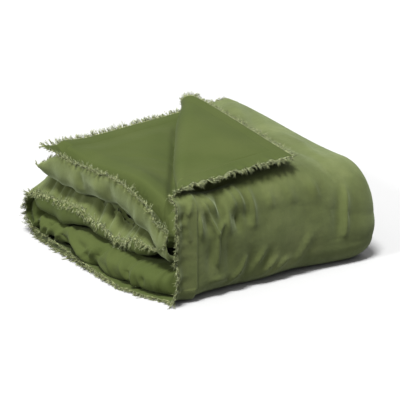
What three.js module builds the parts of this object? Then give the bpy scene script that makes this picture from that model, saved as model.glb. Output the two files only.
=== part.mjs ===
// A filled duvet with a velvet face and a cotton reverse, folded in four along its length, with one
// corner of the top layer turned back. A flat raw border with a frayed fringe runs outside the stitch line
// on the near side and on both free ends. Millimetres, +Z up: the near side faces -X, the front fold -Y.
import * as THREE from "three";

// Size of the pile and of the border
const FAR_SIDE = 406; // from the near stitch line to the smooth far side
const BORDER_WIDTH = 32; // flat cloth outside the stitch line
const BORDER_HALF = 1.5;
const SWELL_LENGTH = 45; // over which the filling rises from the stitch line
const FAR_ROUNDING = 50;

// Where the centre line of the cloth runs, seen from the near side: at the raw border, in the filled body
// just inside it, and at the far side, where the pile is slumped
const ROUTE = {
  topHeight: { border: 191, body: 183, far: 166 },
  topEndHeight: { border: 191, body: 185, far: 186 },
  topArcRadius: { border: 26, body: 45, far: 80 },
  frontDepth: { border: 3, body: 24, far: 10 },
  bottomArcRadius: { border: 24, body: 24, far: 24 },
  bottomHeight: { border: 3, body: 22, far: 18.92 },
  backDepth: { border: 503, body: 480, far: 478 },
  backHeight: { border: 86, body: 80, far: 72 },
  middleHeight: { border: 72, body: 80, far: 72 },
  innerFoldDepth: { border: 28, body: 80, far: 84 },
  innerFoldHeight: { border: 150, body: 135, far: 117 },
  innerEndHeight: { border: 172, body: 140, far: 121 },
};
// Depths of the two raw ends
const ENDS = {
  top: { near: 348, far: 492 },
  inner: { near: 440, far: 506 },
};
const SLUMP_FROM = 190; // distance from the near stitch line where the slump starts
const FAR_THINNING = 0.86;
const FAR_LEAN = 7; // the far side leans in at the top and out at the bottom
const UPRIGHT_HEIGHT = 90; // height at which it does neither
const FRONT_BULGE = 4;
const BOTTOM_SPREAD = 10; // the border of the bottom leg lies splayed

// The legs and folds in their order, each with its steps and half its thickness where it starts
const LEGS = [
  { name: "top leg", steps: 22, half: 17 },
  { name: "front top arc", steps: 4, half: 17 },
  { name: "front", steps: 3, half: 20 },
  { name: "front bottom arc", steps: 4, half: 22 },
  { name: "bottom leg", steps: 3, half: 22 },
  { name: "back fold", steps: 6, half: 22 },
  { name: "middle leg", steps: 3, half: 22 },
  { name: "inner fold", steps: 6, half: 22 },
  { name: "inner leg", steps: 6, half: 22 },
];
const TOP = 0;
const FRONT = 2;
const INNER = LEGS.length - 1;
const INNER_END_HALF = 22;

// The near side of the top leg leans outwards, this much at its free end
const TOP_END_LEAN = 64;

// The turned-back corner rolls over a line that starts at the near edge
const FOLD_START = { x: -42, y: 15 };
const FOLD_ANGLE = THREE.MathUtils.degToRad(51);
const ROLL_RADIUS = { start: 13, end: 22 }; // at the near edge and at the raw free end
const ROLL_LENGTH = 540;
const FLAP_HALF = 11;
const FOLD_LIFT = 6; // the top leg rises to the roll
const FOLD_EASE = 60; // over this distance before the fold line
const DROOP_LENGTH = 150; // past the roll the flap sinks onto the cloth under it
const FLAP_CLEARANCE = 3;

// Columns across the cloth, closer where the filling rises and where the roll ends
const COLUMNS = [
  -BORDER_WIDTH, -12, 0, 4, 11, 21, 33, 46, 75, 105, 135, 165, 190, 210, 226, 240, 252, 264, 275, 286, 297,
  309, 323, 338, 352, 366, 379, 392, 400, 404, FAR_SIDE,
];
const STEPS_BEFORE_ROLL = 7;
const STEPS_IN_ROLL = 8;
const CLOSER_TO_END = 1.3; // power that crowds the steps past the roll towards the raw end
const CLOSER_TO_ROLL = 1.8; // and the steps before the roll towards the roll
const LAST_ZONE = 14; // the top leg's steps past the roll keep at least this much cloth
const ROLL_ZONE = 34; // and its steps in the roll keep this much
const LEAST_STEP = 0.6;

// The fringe
const FRINGE_GAP = 0.3;
const FRINGE_HALF = 0.8;
const END_FRINGE_INSET = { near: 1, far: 6 };
const TOOTH_PITCH = 18;
const TOOTH_ROOT = 3;
const TOOTH_LENGTH = { shortest: 9, longest: 13 };

// Unevenness of the velvet on top and in front: share of the thickness, and length of its waves over 2 pi
const SWELL_OF_TOP = 0.07;
const SWELL_ACROSS = 47;
const SWELL_ALONG = 53;

const MATERIALS = {
  velvet: new THREE.MeshStandardMaterial({ color: 0x7f8c58, roughness: 0.8, metalness: 0 }),
  fringe: new THREE.MeshStandardMaterial({ color: 0x97a06c, roughness: 0.95, metalness: 0 }),
};

const { clamp, lerp, smoothstep } = THREE.MathUtils;

// A quarter round from 0 to 1, the way filling rises from a seam.
function quarterRound(t) {
  const rest = 1 - clamp(t, 0, 1);
  return Math.sqrt(1 - rest * rest);
}

function nearSwell(u) {
  return quarterRound(u / SWELL_LENGTH);
}

function endSwell(fromRawEdge) {
  return quarterRound((fromRawEdge - BORDER_WIDTH) / SWELL_LENGTH);
}

function farRounding(u) {
  const into = clamp((u - FAR_SIDE + FAR_ROUNDING) / FAR_ROUNDING, 0, 1);
  return Math.sqrt(1 - into * into);
}

// Share of the slump that column u has.
function slump(u) {
  return smoothstep(u, SLUMP_FROM, FAR_SIDE);
}

function route(name, u, swell = nearSwell(u)) {
  const inBody = lerp(ROUTE[name].body, ROUTE[name].far, slump(u));
  return lerp(ROUTE[name].border, inBody, swell);
}

// Depth of a free leg's raw edge, which runs askew in a straight line.
function endDepth(end, u) {
  const across = (u + BORDER_WIDTH) / (FAR_SIDE + BORDER_WIDTH);
  return lerp(end.near, end.far, across);
}

// Depth at which the top leg starts behind the front top arc.
function topLegStart(u) {
  return route("frontDepth", u) + route("topArcRadius", u);
}

function leanPerDepth(u) {
  const share = (FAR_SIDE - u) / (FAR_SIDE + BORDER_WIDTH);
  return (TOP_END_LEAN * share) / (endDepth(ENDS.top, u) - topLegStart(u));
}

// Distance past the fold line, towards the corner.
function pastFold(x, y) {
  return (
    -Math.sin(FOLD_ANGLE) * (x - FOLD_START.x) + Math.cos(FOLD_ANGLE) * (y - FOLD_START.y)
  );
}

// Radius of the roll beside a point: it opens towards the free end.
function rollRadius(x, y) {
  const along = Math.cos(FOLD_ANGLE) * (x - FOLD_START.x) + Math.sin(FOLD_ANGLE) * (y - FOLD_START.y);
  return lerp(ROLL_RADIUS.start, ROLL_RADIUS.end, clamp(along / ROLL_LENGTH, 0, 1));
}

// Depth at which column u lies at the given distance past the fold line.
function depthPastFold(u, distance) {
  const lean = leanPerDepth(u);
  const atStart = pastFold(u, topLegStart(u));
  const perDepth = Math.cos(FOLD_ANGLE) + Math.sin(FOLD_ANGLE) * lean;
  return topLegStart(u) + (distance - atStart) / perDepth;
}

// Depths of the top leg's stations in column u, from its raw edge to the front.
function topLegDepths(u) {
  const start = topLegStart(u);
  const end = endDepth(ENDS.top, u);
  const radius = rollRadius(u, depthPastFold(u, 0));
  const rollEnd = Math.min(depthPastFold(u, Math.PI * radius), end - LAST_ZONE);
  const rollStart = Math.max(
    Math.min(depthPastFold(u, 0), rollEnd - ROLL_ZONE),
    start + STEPS_BEFORE_ROLL * LEAST_STEP,
  );
  const stepsPastRoll = LEGS[TOP].steps - STEPS_BEFORE_ROLL - STEPS_IN_ROLL;
  const depths = [];
  for (let k = 0; k < stepsPastRoll; k++)
    depths.push(lerp(end, rollEnd, (k / stepsPastRoll) ** CLOSER_TO_END));
  for (let k = 0; k < STEPS_IN_ROLL; k++)
    depths.push(lerp(rollEnd, rollStart, k / STEPS_IN_ROLL));
  for (let k = 0; k <= STEPS_BEFORE_ROLL; k++)
    depths.push(lerp(rollStart, start, (k / STEPS_BEFORE_ROLL) ** CLOSER_TO_ROLL));
  return depths;
}

// A point on an arc that starts with the given heading and turns by the given angle, with its normal on the
// velvet side. The heading is an angle from +Y towards +Z.
function onArc(startY, startZ, heading, turn, radius, t) {
  const side = Math.sign(turn);
  const centreY = startY - side * Math.sin(heading) * radius;
  const centreZ = startZ + side * Math.cos(heading) * radius;
  const now = heading + turn * t;
  const normalY = Math.sin(now);
  const normalZ = -Math.cos(now);
  return {
    y: centreY + side * radius * normalY,
    z: centreZ + side * radius * normalZ,
    normalY,
    normalZ,
  };
}

const BACKWARDS = 0;
const FORWARDS = Math.PI;
const DOWNWARDS = 1.5 * Math.PI;

// Centre line of the cloth in column u: leg and t say how far along it is, and past how far the point lies
// beyond the raw edge of a free leg.
function centreLine(u, leg, t, past = 0) {
  const name = LEGS[leg].name;
  const frontDepth = route("frontDepth", u);
  const topArc = route("topArcRadius", u);
  const bottomArc = route("bottomArcRadius", u);
  const bottomHeight = route("bottomHeight", u);
  const backHeight = route("backHeight", u);
  const middleHeight = route("middleHeight", u);
  const innerFoldHeight = route("innerFoldHeight", u);
  const topHeight = route("topHeight", u);
  const backRadius = (backHeight - bottomHeight) / 2;
  const backStart = route("backDepth", u) - backRadius;
  const innerRadius = (innerFoldHeight - middleHeight) / 2;
  const innerStart = route("innerFoldDepth", u) + innerRadius;
  if (name === "top leg") {
    const end = endDepth(ENDS.top, u);
    const y = lerp(end, topLegStart(u), t) + past;
    const swell = nearSwell(u) * endSwell(end - y);
    const rise = smoothstep(y, topLegStart(u), end);
    const z = lerp(route("topHeight", u, swell), route("topEndHeight", u, swell), rise);
    return { y, z, normalY: 0, normalZ: 1, fromRawEdge: end - y };
  }
  if (name === "front top arc")
    return onArc(frontDepth + topArc, topHeight, FORWARDS, Math.PI / 2, topArc, t);
  if (name === "front") {
    const z = lerp(topHeight - topArc, bottomHeight + bottomArc, t);
    const bulge = FRONT_BULGE * Math.sin(Math.PI * t) * nearSwell(u);
    return { y: frontDepth - bulge, z, normalY: -1, normalZ: 0 };
  }
  if (name === "front bottom arc")
    return onArc(frontDepth, bottomHeight + bottomArc, DOWNWARDS, Math.PI / 2, bottomArc, t);
  if (name === "bottom leg")
    return { y: lerp(frontDepth + bottomArc, backStart, t), z: bottomHeight, normalY: 0, normalZ: -1 };
  if (name === "back fold") return onArc(backStart, bottomHeight, BACKWARDS, Math.PI, backRadius, t);
  if (name === "middle leg") {
    const z = lerp(backHeight, middleHeight, smoothstep(t, 0, 1));
    return { y: lerp(backStart, innerStart, t), z, normalY: 0, normalZ: 1 };
  }
  if (name === "inner fold") return onArc(innerStart, middleHeight, FORWARDS, -Math.PI, innerRadius, t);
  const end = endDepth(ENDS.inner, u);
  const y = lerp(innerStart, end, t) + past;
  const swell = nearSwell(u) * endSwell(end - y);
  const rise = smoothstep(t, 0, 1);
  const z = lerp(route("innerFoldHeight", u, swell), route("innerEndHeight", u, swell), rise);
  return { y, z, normalY: 0, normalZ: -1, fromRawEdge: end - y };
}

function halfThickness(u, leg, t, fromRawEdge, beforeFold) {
  const next = leg === INNER ? INNER_END_HALF : LEGS[leg + 1].half;
  let full = lerp(LEGS[leg].half, next, t);
  if (leg === TOP) full = lerp(full, FLAP_HALF, smoothstep(beforeFold, -FOLD_EASE, 0));
  const swell = nearSwell(u) * (fromRawEdge === undefined ? 1 : endSwell(fromRawEdge));
  full *= lerp(1, FAR_THINNING, slump(u));
  return lerp(BORDER_HALF, full, swell) * farRounding(u);
}

// Gentle swells of the velvet where it faces up or to the front.
function unevenness(u, leg, y, z) {
  if (leg > FRONT) return 1;
  const across = Math.sin(u / SWELL_ACROSS + 0.8);
  const along = Math.sin((y - z) / SWELL_ALONG + 0.4);
  return 1 + SWELL_OF_TOP * across * along;
}

// Height of the velvet on top of the pile, where the turned-back corner comes to lie.
function topSurfaceHeight(x, y) {
  const rise = smoothstep(y, topLegStart(x), endDepth(ENDS.top, x));
  const centre = lerp(route("topHeight", x), route("topEndHeight", x), rise);
  return centre + LEGS[TOP].half * (1 + SWELL_OF_TOP);
}

// Bends a point of the top leg over the fold line: offset is measured from the centre line to the velvet
// side, which ends up inside the roll, and half is half the thickness there.
function turnBack(x, y, height, offset, half, swell) {
  const past = pastFold(x, y);
  const lift = FOLD_LIFT * smoothstep(past, -FOLD_EASE, 0) * swell;
  if (past <= 0) return [x, y, height + lift + offset];
  const radius = rollRadius(x, y);
  const angle = Math.min(past / radius, Math.PI);
  const beyondRoll = Math.max(past - Math.PI * radius, 0);
  const arm = (radius - offset) * Math.sin(angle) - beyondRoll;
  const flapX = x + Math.sin(FOLD_ANGLE) * (past - arm);
  const flapY = y - Math.cos(FOLD_ANGLE) * (past - arm);
  const rolled = height + lift + radius - (radius - offset) * Math.cos(angle);
  const lying = topSurfaceHeight(flapX, flapY) + FLAP_CLEARANCE + half - offset;
  return [flapX, flapY, lerp(rolled, lying, smoothstep(beyondRoll, 0, DROOP_LENGTH))];
}

// Leans the far side in at the top and out at the bottom.
function lean(u, place) {
  place[0] += FAR_LEAN * slump(u) * (1 - place[2] / UPRIGHT_HEIGHT);
  return place;
}

// A point of the cloth. side is +1 on the velvet face, -1 on the cotton reverse. half overrules the
// thickness of the filled body, for the fringe.
function clothPoint(u, leg, t, side, past = 0, half = undefined) {
  const c = centreLine(u, leg, t, past);
  const x = leg === TOP ? u - leanPerDepth(u) * (c.y - topLegStart(u)) : u;
  const beforeFold = leg === TOP ? pastFold(x, c.y) : 0;
  const halfHere = half ?? halfThickness(u, leg, t, c.fromRawEdge, beforeFold);
  let offset = side * halfHere;
  if (side > 0 && half === undefined && beforeFold <= 0) offset *= unevenness(u, leg, c.y, c.z);
  if (leg === TOP) {
    const swell = nearSwell(u) * endSwell(c.fromRawEdge);
    return lean(u, turnBack(x, c.y, c.z, offset, halfHere, swell));
  }
  const onBorder = Math.min(u / BORDER_WIDTH, 0);
  const spread = LEGS[leg].name === "bottom leg" ? BOTTOM_SPREAD * onBorder * Math.sin(Math.PI * t) : 0;
  return lean(u, [x + spread, c.y + c.normalY * offset, c.z + c.normalZ * offset]);
}

// Stations of column u from the top leg's raw edge to the inner leg's, as leg and t.
function stationsOf(u) {
  const stations = [];
  const end = endDepth(ENDS.top, u);
  for (const depth of topLegDepths(u))
    stations.push({ leg: TOP, t: (end - depth) / (end - topLegStart(u)) });
  for (let leg = TOP + 1; leg < LEGS.length; leg++)
    for (let k = 1; k <= LEGS[leg].steps; k++) stations.push({ leg, t: k / LEGS[leg].steps });
  return stations;
}

// A closed mesh from two grids of points that share their outer walls. points(i, j, side) gives the
// place; with a pointed last column both sides meet there in one row of vertices.
function closedSheet(columns, rows, points, pointed) {
  const positions = [];
  const index = { 1: [], [-1]: [] };
  for (const side of [1, -1])
    for (let i = 0; i < columns; i++) {
      index[side].push([]);
      for (let j = 0; j < rows; j++) {
        if (side < 0 && pointed && i === columns - 1) {
          index[side][i].push(index[1][i][j]);
          continue;
        }
        index[side][i].push(positions.length / 3);
        positions.push(...points(i, j, side));
      }
    }
  const faces = [];
  const triangle = (a, b, c) => {
    if (a !== b && b !== c && c !== a) faces.push(a, b, c);
  };
  const quad = (a, b, c, d) => {
    triangle(a, b, c);
    triangle(a, c, d);
  };
  const face = index[1];
  const back = index[-1];
  for (let i = 0; i + 1 < columns; i++)
    for (let j = 0; j + 1 < rows; j++) {
      quad(face[i][j], face[i][j + 1], face[i + 1][j + 1], face[i + 1][j]);
      quad(back[i][j], back[i + 1][j], back[i + 1][j + 1], back[i][j + 1]);
    }
  for (let j = 0; j + 1 < rows; j++) {
    quad(face[0][j], back[0][j], back[0][j + 1], face[0][j + 1]);
    const last = columns - 1;
    quad(face[last][j], face[last][j + 1], back[last][j + 1], back[last][j]);
  }
  for (let i = 0; i + 1 < columns; i++) {
    quad(face[i][0], face[i + 1][0], back[i + 1][0], back[i][0]);
    const last = rows - 1;
    quad(face[i][last], back[i][last], back[i + 1][last], face[i + 1][last]);
  }
  const geometry = new THREE.BufferGeometry();
  geometry.setAttribute("position", new THREE.Float32BufferAttribute(positions, 3));
  geometry.setIndex(faces);
  geometry.computeVertexNormals();
  return geometry;
}

function duvetGeometry() {
  const stations = COLUMNS.map(stationsOf);
  const point = (i, j, side) => {
    const { leg, t } = stations[i][j];
    return clothPoint(COLUMNS[i], leg, t, side);
  };
  return closedSheet(COLUMNS.length, stations[0].length, point, true);
}

// Repeatable random numbers between 0 and 1.
function randomFrom(seed) {
  let state = seed;
  return () => {
    state = (state * 1103515245 + 12345) % 2147483648;
    return state / 2147483648;
  };
}

// A comb of threads along an edge. edge(k, reach, side) gives the place of station k at a reach past the
// raw edge; every second station is the tip of a tooth.
function combGeometry(stations, seed, edge) {
  const random = randomFrom(seed);
  const reaches = [];
  for (let k = 0; k < stations; k++) {
    const tip = lerp(TOOTH_LENGTH.shortest, TOOTH_LENGTH.longest, random());
    reaches.push(k % 2 ? tip : TOOTH_ROOT);
  }
  const point = (i, j, side) => edge(j, i === 1 ? FRINGE_GAP : reaches[j], side);
  return closedSheet(2, stations, point, false);
}

// Rough length of each leg along the raw near edge.
function nearEdgeStations() {
  const u = -BORDER_WIDTH;
  const samples = 24;
  const stations = [];
  for (let leg = 0; leg < LEGS.length; leg++) {
    let length = 0;
    let before = centreLine(u, leg, 0);
    for (let k = 1; k <= samples; k++) {
      const here = centreLine(u, leg, k / samples);
      length += Math.hypot(here.y - before.y, here.z - before.z);
      before = here;
    }
    const steps = Math.max(2, Math.round(length / (TOOTH_PITCH / 2)));
    for (let k = leg === 0 ? 0 : 1; k <= steps; k++) stations.push({ leg, t: k / steps });
  }
  return stations;
}

function nearFringeGeometry() {
  const stations = nearEdgeStations();
  return combGeometry(stations.length, 7, (k, reach, side) => {
    const { leg, t } = stations[k];
    return clothPoint(-BORDER_WIDTH - reach, leg, t, side, 0, FRINGE_HALF);
  });
}

// Fringe along a free end, from the near corner to just before the far side.
function endFringeGeometry(leg, t, seed) {
  const first = -BORDER_WIDTH + END_FRINGE_INSET.near;
  const last = FAR_SIDE - END_FRINGE_INSET.far;
  const stations = 2 * Math.round((last - first) / TOOTH_PITCH) + 1;
  return combGeometry(stations, seed, (k, reach, side) => {
    const u = lerp(first, last, k / (stations - 1));
    const facing = leg === TOP ? -side : side; // the velvet is above on the top leg, below on the inner one
    return clothPoint(u, leg, t, facing, reach, FRINGE_HALF);
  });
}

function namedMesh(name, geometry, material) {
  const mesh = new THREE.Mesh(geometry, material);
  mesh.name = name;
  return mesh;
}

// The part stands on z = 0 with the middle of its outline over the origin.
const pile = new THREE.Group();
pile.add(namedMesh("duvet", duvetGeometry(), MATERIALS.velvet));
pile.add(namedMesh("fringe_near_side", nearFringeGeometry(), MATERIALS.fringe));
pile.add(namedMesh("fringe_top_end", endFringeGeometry(TOP, 0, 21), MATERIALS.fringe));
pile.add(namedMesh("fringe_inner_end", endFringeGeometry(INNER, 1, 33), MATERIALS.fringe));
const box = new THREE.Box3().setFromObject(pile);
const centre = box.getCenter(new THREE.Vector3());
pile.position.set(-centre.x, -centre.y, -box.min.z);

const part = new THREE.Group();
part.add(pile);

export default part;
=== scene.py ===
import math

import bpy
import numpy as np
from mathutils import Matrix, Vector


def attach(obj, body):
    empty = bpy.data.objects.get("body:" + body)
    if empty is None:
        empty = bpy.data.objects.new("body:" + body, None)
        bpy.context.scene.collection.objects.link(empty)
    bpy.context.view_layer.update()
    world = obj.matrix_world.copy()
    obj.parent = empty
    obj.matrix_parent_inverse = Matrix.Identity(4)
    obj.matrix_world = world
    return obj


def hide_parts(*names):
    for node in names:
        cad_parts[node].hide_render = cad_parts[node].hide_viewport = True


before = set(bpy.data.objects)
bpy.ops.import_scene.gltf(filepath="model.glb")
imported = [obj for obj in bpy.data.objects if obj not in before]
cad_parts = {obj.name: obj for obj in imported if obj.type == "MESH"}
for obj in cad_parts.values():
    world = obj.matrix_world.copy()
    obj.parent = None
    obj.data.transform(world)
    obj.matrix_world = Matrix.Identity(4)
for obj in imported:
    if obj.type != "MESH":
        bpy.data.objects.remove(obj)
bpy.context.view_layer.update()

# A puffy duvet of olive velvet with a cotton back, folded in four along its length into a pile, with one
# corner of the top layer turned back. Its border is two loose plies with frayed edges.
# Lengths of the cloth are in millimetres in the pile's own frame: x from the near stitch line to the far
# side, y from the front fold to the back, z up. to_frame() turns them into metres in the part's frame.
PILE_SHIFT = np.array([-176.8185, -251.7145, 0.0])
MM = 0.001

# Size of the pile and of the border
FAR_SIDE = 406.0
BORDER_WIDTH = 32.0
BORDER_HALF = 1.5  # half the thickness of the two plies together
SWELL_LENGTH = 45.0
GENTLE_SWELL = (-20.0, 75.0)
FAR_ROUNDING = 50.0

# Where the centre line of the cloth runs at the raw border, in the filled body and at the far side
ROUTE = {
    "top height": (191, 183, 166),
    "top end height": (196.5, 190.5, 195.2),
    "top arc radius": (26, 45, 80),
    "front depth": (3, 24, 10),
    "bottom arc radius": (24, 24, 24),
    "bottom height": (3, 22, 18.92),
    "back depth": (503, 480, 478),
    "back height": (86, 80, 72),
    "middle height": (72, 80, 72),
    "inner fold depth": (28, 80, 84),
    "inner fold height": (150, 135, 117),
    "inner end height": (172, 140, 121),
}
# Depths of the two raw ends at the near and at the far side
TOP_END = (336.4, 448.6)
INNER_END = (440.0, 506.0)
TOP_END_LEAN = 125.9  # how far the top layer's near corner leans out before it is turned back
# From this column on the pile sinks towards the far side, and its filling thins to this share
SLUMP_FROM = 190.0
FAR_THINNING = 0.86
# How far the far side is drawn in, against the height
FAR_SHIFT = ([0, 12, 38, 76, 110, 200], [13, 12, 9.5, 7, 7.5, 8.6])
FRONT_BULGE = 4.0

# The legs and folds of the strip in their order
LEGS = range(9)
TOP, TOP_ARC, FRONT, BOTTOM_ARC, BOTTOM, BACK, MIDDLE, INNER_FOLD, INNER = LEGS
# Half the thickness at the start of each, and at the end of the last one
HALF = [17, 17, 20, 22, 22, 22, 22, 22, 22, 22]

# The roll of the turned-back corner: its fold line, and its radius at both ends of a length
FOLD_START = (-22.3, 15.0)
FOLD_ANGLE = math.radians(51.07)
ROLL_RADIUS = (7.5, 27.1)
ROLL_LENGTH = 540.0
FOLD_LIFT = 6.0
FOLD_EASE = 60.0  # length over which the body changes into the roll
# The corner past the roll
FLAP_HALF = 11.0
FLAP_SHARE = 0.70  # of its reach
FLAP_CLEARANCE = 3.0
DROOP_LENGTH = 496.0
# Share by which the top and the front swell and sink, in waves along x and along y - z
SWELL_OF_TOP = 0.07
TOP_WAVE_RUNS = (47.0, 53.0)
TOP_WAVE_STARTS = (0.8, 0.4)


def lerp(a, b, t):
    return a + (b - a) * t


def smoothstep(v, low, high):
    s = np.clip((v - low) / (high - low), 0, 1)
    return s * s * (3 - 2 * s)


def quarter_round(t):
    rest = 1 - np.clip(t, 0, 1)
    return np.sqrt(1 - rest * rest)


def near_swell(u):
    return quarter_round(u / SWELL_LENGTH)


def end_swell(from_raw):
    return quarter_round((from_raw - BORDER_WIDTH) / SWELL_LENGTH)


def gentle_swell(distance):
    """The swell beside a seam where the filling is thin."""
    return smoothstep(distance, *GENTLE_SWELL)


def leg_swell(u, leg, t):
    """The swell beside the near seam: gentle down the front, where the border runs flush into the body."""
    if leg in (TOP_ARC, FRONT, BOTTOM_ARC):
        share = {TOP_ARC: smoothstep(t, 0, 1), FRONT: 1.0, BOTTOM_ARC: smoothstep(t, 1, 0)}[leg]
        return lerp(near_swell(u), gentle_swell(u) * (u > 0), share)
    return near_swell(u)


def far_rounding(u):
    into = np.clip((u - FAR_SIDE + FAR_ROUNDING) / FAR_ROUNDING, 0, 1)
    return np.sqrt(1 - into * into)


def slump(u):
    return smoothstep(u, SLUMP_FROM, FAR_SIDE)


def route(name, u, swell=None):
    border, body, far = ROUTE[name]
    swell = near_swell(u) if swell is None else swell
    return lerp(border, lerp(body, far, slump(u)), swell)


def end_depth(end, u):
    return lerp(end[0], end[1], (u + BORDER_WIDTH) / (FAR_SIDE + BORDER_WIDTH))


def top_leg_start(u):
    return route("front depth", u) + route("top arc radius", u)


def inner_leg_start(u):
    radius = (route("inner fold height", u) - route("middle height", u)) / 2
    return route("inner fold depth", u) + radius


def past_fold(x, y):
    """Distance past the fold line of the corner, towards the corner."""
    return -math.sin(FOLD_ANGLE) * (x - FOLD_START[0]) + math.cos(FOLD_ANGLE) * (y - FOLD_START[1])


def roll_radius(x, y):
    along = math.cos(FOLD_ANGLE) * (x - FOLD_START[0]) + math.sin(FOLD_ANGLE) * (y - FOLD_START[1])
    return lerp(ROLL_RADIUS[0], ROLL_RADIUS[1], np.clip(along / ROLL_LENGTH, 0, 1))


def on_arc(start_y, start_z, heading, turn, radius, t):
    """Place and velvet-side normal on an arc. The heading is an angle from +Y towards +Z."""
    side = math.copysign(1, turn)
    centre_y = start_y - side * math.sin(heading) * radius
    centre_z = start_z + side * math.cos(heading) * radius
    now = heading + turn * t
    ny, nz = np.sin(now), -np.cos(now)
    return centre_y + side * radius * ny, centre_z + side * radius * nz, ny, nz, None


def centre_line(u, leg, t):
    """y, z, the velvet-side normal and the distance from the raw end of the cloth's centre line."""
    near = leg_swell(u, leg, t)
    front_depth = route("front depth", u, near)
    top_arc = route("top arc radius", u, near)
    bottom_arc = route("bottom arc radius", u, near)
    bottom_height = route("bottom height", u, near)
    top_height = route("top height", u, near)
    middle_height = route("middle height", u)
    back_height = route("back height", u)
    back_radius = (back_height - bottom_height) / 2
    back_start = route("back depth", u) - back_radius
    inner_radius = (route("inner fold height", u) - middle_height) / 2
    inner_start = inner_leg_start(u)
    zero, one = np.zeros_like(u * t), np.ones_like(u * t)
    if leg == TOP:
        end = end_depth(TOP_END, u)
        y = lerp(end, top_leg_start(u), t)
        swell = near_swell(u) * end_swell(end - y)
        rise = smoothstep(y, top_leg_start(u), end)
        z = lerp(route("top height", u, swell), route("top end height", u, swell), rise)
        return y, z, zero, one, end - y
    if leg == TOP_ARC:
        return on_arc(front_depth + top_arc, top_height, math.pi, math.pi / 2, top_arc, t)
    if leg == FRONT:
        z = lerp(top_height - top_arc, bottom_height + bottom_arc, t)
        bulge = FRONT_BULGE * np.sin(math.pi * t) * near
        return front_depth - bulge + zero, z, -one, zero, None
    if leg == BOTTOM_ARC:
        return on_arc(front_depth, bottom_height + bottom_arc, 1.5 * math.pi, math.pi / 2, bottom_arc, t)
    if leg == BOTTOM:
        return lerp(front_depth + bottom_arc, back_start, t), bottom_height + zero, zero, -one, None
    if leg == BACK:
        return on_arc(back_start, bottom_height, 0.0, math.pi, back_radius, t)
    if leg == MIDDLE:
        z = lerp(back_height, middle_height, smoothstep(t, 0, 1))
        return lerp(back_start, inner_start, t), z, zero, one, None
    if leg == INNER_FOLD:
        return on_arc(inner_start, middle_height, math.pi, -math.pi, inner_radius, t)
    end = end_depth(INNER_END, u)
    y = lerp(inner_start, end, t)
    swell = near_swell(u) * gentle_swell(end - y - BORDER_WIDTH)
    z = lerp(route("inner fold height", u, swell), route("inner end height", u, swell), smoothstep(t, 0, 1))
    return y, z, zero, -one, end - y


def half_thickness(u, leg, t, from_raw, before_fold):
    full = lerp(HALF[leg], HALF[leg + 1], t)
    if leg == TOP:
        full = lerp(full, FLAP_HALF, smoothstep(before_fold, -FOLD_EASE, 0))
    swell = leg_swell(u, leg, t) * (1 if from_raw is None else end_swell(from_raw))
    if leg == TOP:
        gentle = gentle_swell(u) * gentle_swell(from_raw - BORDER_WIDTH)
        swell = lerp(swell, gentle, smoothstep(before_fold, -FOLD_EASE, FOLD_EASE))
    if leg == INNER:
        swell = near_swell(u) * gentle_swell(from_raw - BORDER_WIDTH)
    full = full * lerp(1, FAR_THINNING, slump(u))
    return lerp(BORDER_HALF, full, swell) * far_rounding(u)


def unevenness(u, leg, y, z):
    if leg > FRONT:
        return 1.0
    across = np.sin(u / TOP_WAVE_RUNS[0] + TOP_WAVE_STARTS[0])
    along = np.sin((y - z) / TOP_WAVE_RUNS[1] + TOP_WAVE_STARTS[1])
    return 1 + SWELL_OF_TOP * across * along


def top_surface_height(x, y):
    rise = smoothstep(y, top_leg_start(x), end_depth(TOP_END, x))
    centre = lerp(route("top height", x), route("top end height", x), rise)
    return centre + HALF[TOP] * (1 + SWELL_OF_TOP)


def turn_back(x, y, height, offset, half, swell):
    """Bends points of the top leg over the fold line."""
    past = past_fold(x, y)
    lift = FOLD_LIFT * smoothstep(past, -FOLD_EASE, 0) * swell
    radius = roll_radius(x, y)
    angle = np.clip(past / radius, 0, math.pi)
    beyond = FLAP_SHARE * np.maximum(past - math.pi * radius, 0)
    arm = (radius - offset) * np.sin(angle) - beyond
    flap_x = x + math.sin(FOLD_ANGLE) * (past - arm)
    flap_y = y - math.cos(FOLD_ANGLE) * (past - arm)
    rolled = height + lift + radius - (radius - offset) * np.cos(angle)
    lying = top_surface_height(flap_x, flap_y) + FLAP_CLEARANCE + half - offset
    flap_z = lerp(rolled, lying, smoothstep(beyond, 0, DROOP_LENGTH))
    turned = past > 0
    return (np.where(turned, flap_x, x), np.where(turned, flap_y, y),
            np.where(turned, flap_z, height + lift + offset))


def cloth_point(u, leg, t, side, half=None):
    """Points of the cloth, side +1 on the velvet and -1 on the cotton, as an array with x, y and z last."""
    y, z, normal_y, normal_z, from_raw = centre_line(u, leg, t)
    if leg == TOP:
        share = (FAR_SIDE - u) / (FAR_SIDE + BORDER_WIDTH)
        per_depth = TOP_END_LEAN * share / (end_depth(TOP_END, u) - top_leg_start(u))
        x = u - per_depth * (y - top_leg_start(u))
        before_fold = past_fold(x, y)
    else:
        x = u + 0 * y
        before_fold = np.zeros_like(x)
    here = half_thickness(u, leg, t, from_raw, before_fold) if half is None else half + 0 * y
    offset = side * here
    if side > 0 and half is None:
        offset = np.where(before_fold <= 0, offset * unevenness(u, leg, y, z), offset)
    if leg == TOP:
        swell = near_swell(u) * end_swell(from_raw)
        x, y, z = turn_back(x, y, z, offset, here, swell)
    else:
        y, z = y + normal_y * offset, z + normal_z * offset
    x = x - np.interp(z, *FAR_SHIFT) * slump(u)
    return np.stack([x, y, z], axis=-1)


def to_frame(points):
    return (points + PILE_SHIFT) * MM


# Distances from a raw edge of the rows over the border, and of those just past the stitch line
BORDER_STEPS = np.array([0, 2, 4.5, 7, 10, 13, 16, 19, 22, 25, 28, 30, 32])
SEAM_STEPS = np.array([33, 34.5, 36.5])
END_STEPS = len(BORDER_STEPS) + len(SEAM_STEPS)
INSIDE = slice(len(BORDER_STEPS) - 1, 1 - len(BORDER_STEPS))  # stations between the two end seams
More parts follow.
